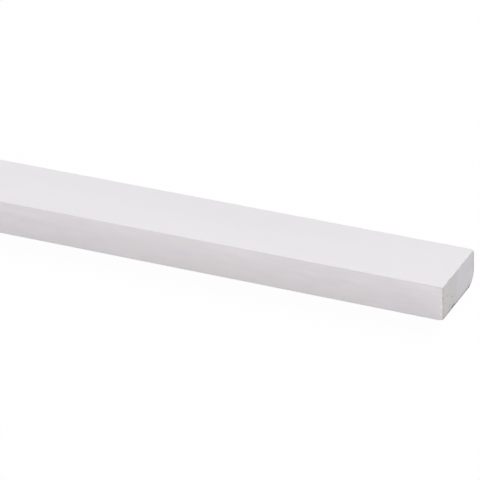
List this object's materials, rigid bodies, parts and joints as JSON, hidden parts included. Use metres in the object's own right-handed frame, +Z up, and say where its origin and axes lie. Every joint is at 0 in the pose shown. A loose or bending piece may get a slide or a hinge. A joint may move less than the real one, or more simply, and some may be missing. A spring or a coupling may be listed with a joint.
{
  "type": "cover strip",
  "caption": "Long flat white-primed trim strip, rectangular in section with a rounded-over long edge and square-sawn ends, for covering a joint or gap.",
  "frame": {"origin": "middle of the broad face that the strip lies on, level with the floor", "axes": "+X along the strip, +Y from its front edge to its rounded-over back edge, +Z up through its thickness"},
  "size_m": [2.4, 0.028, 0.012],
  "materials": {
    "white_primed_timber": "matte"
  },
  "bodies": {
    "root": {"cover_strip": "white_primed_timber"}
  },
  "joints": []
}
